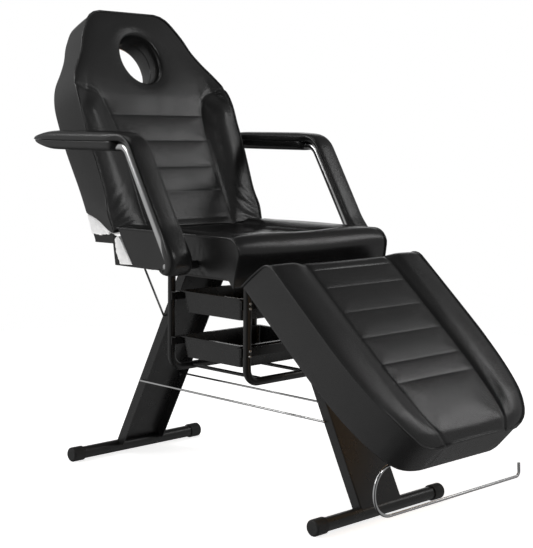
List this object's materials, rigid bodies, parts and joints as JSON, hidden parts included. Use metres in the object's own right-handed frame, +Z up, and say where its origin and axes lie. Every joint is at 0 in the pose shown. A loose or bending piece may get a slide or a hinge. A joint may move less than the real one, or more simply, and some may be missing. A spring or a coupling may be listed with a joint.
{
  "type": "facial treatment bed",
  "caption": "Adjustable treatment bed with a reclining backrest and face hole, a lifting footrest, swinging armrests, two sliding trays and a paper-roll holder.",
  "frame": {"origin": "on the floor, under the middle of the whole bed's box", "axes": "+X towards the sitter's left, -Y towards the footrest end, +Z up"},
  "size_m": [0.804, 1.4271, 1.3391],
  "materials": {
    "black_vinyl": "semi-gloss grained vinyl, sewn and piped",
    "white_cloth": "matte non-woven",
    "plywood": "raw",
    "chrome": "polished",
    "zinc_fastener": "zinc plated",
    "tray_plastic": "fine moulded texture",
    "black_plastic": "moulded",
    "black_rubber": "matte",
    "black_paint": "satin powder coat"
  },
  "bodies": {
    "base": {"armrest_bolts": "zinc_fastener", "armrest_spacers": "black_paint", "back_hinge_pins": "black_paint", "floor_tube_caps": "black_rubber", "foot_hinge_pins": "black_paint", "front_cross_tube": "black_paint", "front_floor_tube": "black_paint", "front_leg": "black_paint", "front_leg_top_plate": "black_paint", "front_rack_hoop": "black_paint", "left_armrest_mount": "black_paint", "left_back_hinge_seat_plate": "black_paint", "left_brace_rod": "chrome", "left_foot_hinge_seat_plate": "black_paint", "left_seat_rail": "black_paint", "left_tie_rod": "chrome", "leg_bolts": "zinc_fastener", "lower_tray_runners": "black_paint", "rack_braces": "black_paint", "rear_cross_tube": "black_paint", "rear_floor_tube": "black_paint", "rear_leg": "black_paint", "rear_leg_top_plate": "black_paint", "rear_rack_hoop": "black_paint", "right_armrest_mount": "black_paint", "right_back_hinge_seat_plate": "black_paint", "right_brace_rod": "chrome", "right_foot_hinge_seat_plate": "black_paint", "right_seat_rail": "black_paint", "right_tie_rod": "chrome", "rod_nuts": "zinc_fastener", "runner_screws": "zinc_fastener", "seat_board": "plywood", "seat_cushion": "black_vinyl", "seat_end_cloth": "white_cloth", "seat_hinge_screws": "zinc_fastener", "upper_tray_runners": "black_paint"},
    "backrest": {"backrest_board": "plywood", "backrest_cushion": "black_vinyl", "backrest_end_cloth": "white_cloth", "backrest_hinge_screws": "zinc_fastener", "face_hole_liner": "black_vinyl", "left_back_hinge_arm": "black_paint", "right_back_hinge_arm": "black_paint"},
    "footrest": {"footrest_board": "plywood", "footrest_cushion": "black_vinyl", "footrest_hinge_screws": "zinc_fastener", "left_foot_hinge_arm": "black_paint", "paper_roll_holder": "chrome", "right_foot_hinge_arm": "black_paint", "roll_holder_clips": "black_plastic"},
    "left_armrest": {"left_armrest_bar": "chrome", "left_armrest_pad": "black_vinyl", "left_armrest_under_pad": "black_vinyl"},
    "right_armrest": {"right_armrest_bar": "chrome", "right_armrest_pad": "black_vinyl", "right_armrest_under_pad": "black_vinyl"},
    "upper_tray": {"upper_tray": "tray_plastic"},
    "lower_tray": {"lower_tray": "tray_plastic"}
  },
  "joints": [
    {"name": "backrest_recline", "type": "hinge", "parent": "base", "child": "backrest", "pos_m": [0, 0.344, 0.684], "axis": [-1, 0, 0], "range_deg": [0, 64.75]},
    {"name": "footrest_lift", "type": "hinge", "parent": "base", "child": "footrest", "pos_m": [0, -0.157, 0.583], "axis": [-1, 0, 0], "range_deg": [0, 41.7]},
    {"name": "left_armrest_swing", "type": "hinge", "parent": "base", "child": "left_armrest", "pos_m": [0.36, -0.01, 0.642], "axis": [-1, 0, 0], "range_deg": [0, 60]},
    {"name": "right_armrest_swing", "type": "hinge", "parent": "base", "child": "right_armrest", "pos_m": [-0.36, -0.01, 0.642], "axis": [-1, 0, 0], "range_deg": [0, 60]},
    {"name": "upper_tray_slide", "type": "slide", "parent": "base", "child": "upper_tray", "axis": [1, 0, 0], "range_m": [-0.25, 0.25]},
    {"name": "lower_tray_slide", "type": "slide", "parent": "base", "child": "lower_tray", "axis": [1, 0, 0], "range_m": [-0.25, 0.25]}
  ]
}
